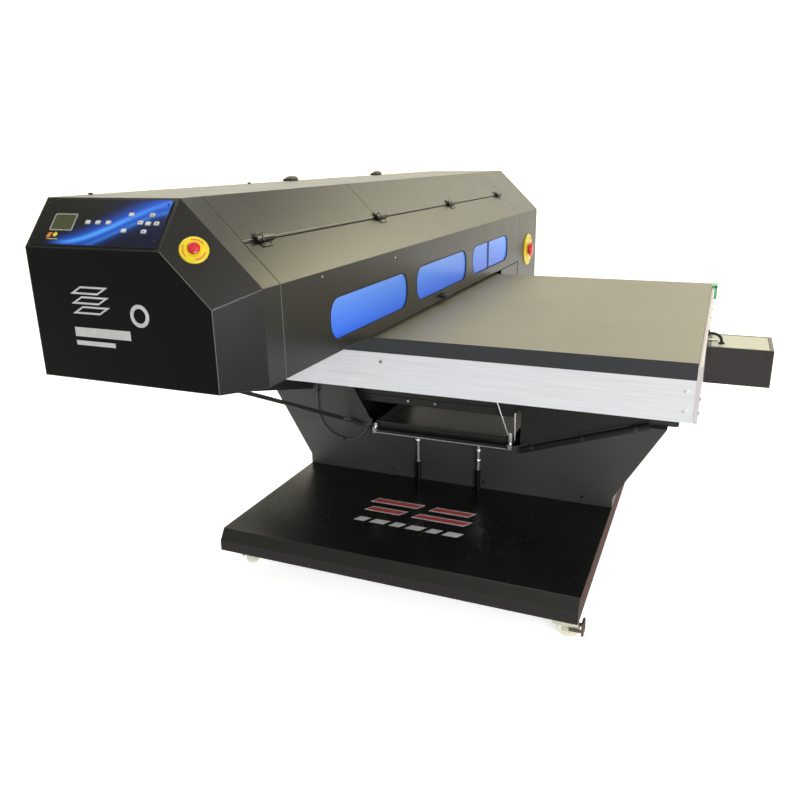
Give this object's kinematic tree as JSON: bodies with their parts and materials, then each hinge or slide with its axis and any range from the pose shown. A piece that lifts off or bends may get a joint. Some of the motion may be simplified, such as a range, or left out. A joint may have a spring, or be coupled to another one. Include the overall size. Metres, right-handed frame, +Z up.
{
  "type": "flatbed uv printer",
  "caption": "Flatbed UV printer: moving print bed on a flared black pedestal under a long hood with tinted windows and a control end.",
  "frame": {"origin": "middle of the bounding box, on the floor under the casters", "axes": "+X along the hood from the control end to the far end, +Y from the print bed's front to the rear, +Z up"},
  "size_m": [2.544, 1.923, 1.116],
  "materials": {
    "hood_paint": "fine-texture black powder coat, semi-gloss",
    "pedestal_paint": "black powder coat, semi-gloss",
    "frame_paint": "black paint",
    "box_paint": "black powder coat",
    "bed_top": "grey-beige top with a black edge",
    "profile": "anodised extrusion",
    "tray": "bright sheet",
    "steel": "ground steel",
    "head": "satin",
    "lamp": "anodised",
    "window": "tinted film",
    "overlay": "printed membrane",
    "yellow": "moulded",
    "red": "moulded",
    "latch": "moulded",
    "dark_plastic": "moulded",
    "belt": "toothed belt, shown plain",
    "hose": "matt",
    "cable": "light grey sheath",
    "fork": "zinc plated",
    "nylon": "white nylon"
  },
  "bodies": {
    "machine": {"end_cap_near": "hood_paint", "end_cap_far": "hood_paint", "rear_shell": "hood_paint", "upper_panel": "hood_paint", "lid_hinge_rail": "frame_paint", "control_panel": "overlay", "stop_base_near": "yellow", "stop_base_far": "yellow", "gantry_beam": "profile", "x_rail": "steel", "gantry_bracket_near": "frame_paint", "gantry_bracket_far": "frame_paint", "x_belt": "belt", "x_motor": "dark_plastic", "capping_station": "dark_plastic", "base_cover": "pedestal_paint", "base_plate": "frame_paint", "side_panel_near": "pedestal_paint", "side_panel_far": "pedestal_paint", "skirt_front": "pedestal_paint", "skirt_rear": "pedestal_paint", "drip_tray": "tray", "loop_cable": "cable", "edge_hose": "hose", "hood_stay": "frame_paint", "y_beam_near": "frame_paint", "y_beam_far": "frame_paint", "y_rail_near": "steel", "y_rail_far": "steel"},
    "upper_lid": {"upper_lid": "hood_paint"},
    "front_lid": {"front_lid": "hood_paint", "window_left": "window", "window_middle": "window", "window_right": "window"},
    "latch": {"lid_latch": "latch"},
    "stop_button_near": {"stop_button_near": "red"},
    "stop_button_far": {"stop_button_far": "red"},
    "table": {"bed_plate": "bed_top", "profile_near": "profile", "profile_far": "profile", "end_plate_front": "profile", "end_plate_rear": "profile", "saddle_front": "frame_paint", "saddle_rear": "frame_paint", "control_box": "box_paint", "box_cable": "hose"},
    "carriage": {"carriage": "dark_plastic", "print_head": "head", "uv_lamp_left": "lamp", "uv_lamp_right": "lamp"},
    "pulley_drive": {"x_pulley_drive": "steel"},
    "pulley_idler": {"x_pulley_idler": "steel"},
    "caster_front_near": {"caster_fork_front_near": "fork"},
    "wheel_front_near": {"caster_wheel_front_near": "nylon"},
    "caster_front_far": {"caster_fork_front_far": "fork"},
    "wheel_front_far": {"caster_wheel_front_far": "nylon"},
    "caster_rear_near": {"caster_fork_rear_near": "fork"},
    "wheel_rear_near": {"caster_wheel_rear_near": "nylon"},
    "caster_rear_far": {"caster_fork_rear_far": "fork"},
    "wheel_rear_far": {"caster_wheel_rear_far": "nylon"}
  },
  "joints": [
    {"name": "table_slide", "type": "slide", "parent": "machine", "child": "table", "axis": [0, 1, 0], "range_m": [0, 1]},
    {"name": "carriage_slide", "type": "slide", "parent": "machine", "child": "carriage", "axis": [-1, 0, 0], "range_m": [0, 1.5]},
    {"name": "front_lid_hinge", "type": "hinge", "parent": "machine", "child": "front_lid", "pos_m": [0.2, 0.1103, 1.01742], "axis": [-1, 0, 0], "range_deg": [0, 105]},
    {"name": "upper_lid_hinge", "type": "hinge", "parent": "machine", "child": "upper_lid", "pos_m": [0.2, 0.5715, 1.111], "axis": [-1, 0, 0], "range_deg": [0, 100]},
    {"name": "latch_turn", "type": "hinge", "parent": "front_lid", "child": "latch", "pos_m": [-0.131, 0.0315, 0.742], "axis": [0, -1, 0], "range_deg": [0, 90]},
    {"name": "stop_near_press", "type": "slide", "parent": "machine", "child": "stop_button_near", "axis": [0.6553, 0.5266, -0.5416], "range_m": [0, 0.004], "stiffness_N_per_m": 800, "springref_m": -0.002},
    {"name": "stop_far_press", "type": "slide", "parent": "machine", "child": "stop_button_far", "axis": [0, 1, 0], "range_m": [0, 0.004], "stiffness_N_per_m": 1000, "springref_m": -0.002},
    {"name": "pulley_drive_turn", "type": "hinge", "parent": "machine", "child": "pulley_drive", "pos_m": [1.06, 0.429, 0.902], "axis": [0, 1, 0], "range_deg": [-6200, 100]},
    {"name": "pulley_idler_turn", "type": "hinge", "parent": "machine", "child": "pulley_idler", "pos_m": [-1.06, 0.429, 0.902], "axis": [0, 1, 0], "range_deg": [-6200, 100]},
    {"name": "swivel_front_near", "type": "hinge", "parent": "machine", "child": "caster_front_near", "pos_m": [-0.7721, -0.515, 0.066], "axis": [0, 0, 1], "continuous": true},
    {"name": "roll_front_near", "type": "hinge", "parent": "caster_front_near", "child": "wheel_front_near", "pos_m": [-0.7721, -0.541, 0.029], "axis": [1, 0, 0], "continuous": true},
    {"name": "swivel_front_far", "type": "hinge", "parent": "machine", "child": "caster_front_far", "pos_m": [0.6569, -0.515, 0.066], "axis": [0, 0, 1], "continuous": true},
    {"name": "roll_front_far", "type": "hinge", "parent": "caster_front_far", "child": "wheel_front_far", "pos_m": [0.6569, -0.541, 0.029], "axis": [1, 0, 0], "continuous": true},
    {"name": "swivel_rear_near", "type": "hinge", "parent": "machine", "child": "caster_rear_near", "pos_m": [-0.7721, 0.424, 0.066], "axis": [0, 0, 1], "continuous": true},
    {"name": "roll_rear_near", "type": "hinge", "parent": "caster_rear_near", "child": "wheel_rear_near", "pos_m": [-0.7461, 0.424, 0.029], "axis": [0, 1, 0], "continuous": true},
    {"name": "swivel_rear_far", "type": "hinge", "parent": "machine", "child": "caster_rear_far", "pos_m": [0.6569, 0.424, 0.066], "axis": [0, 0, 1], "continuous": true},
    {"name": "roll_rear_far", "type": "hinge", "parent": "caster_rear_far", "child": "wheel_rear_far", "pos_m": [0.6309, 0.424, 0.029], "axis": [0, 1, 0], "continuous": true}
  ],
  "couplings": [
    {"joint": "pulley_drive_turn", "follows": "carriage_slide", "rad_per_m": -66.445},
    {"joint": "pulley_idler_turn", "follows": "carriage_slide", "rad_per_m": -66.445}
  ]
}
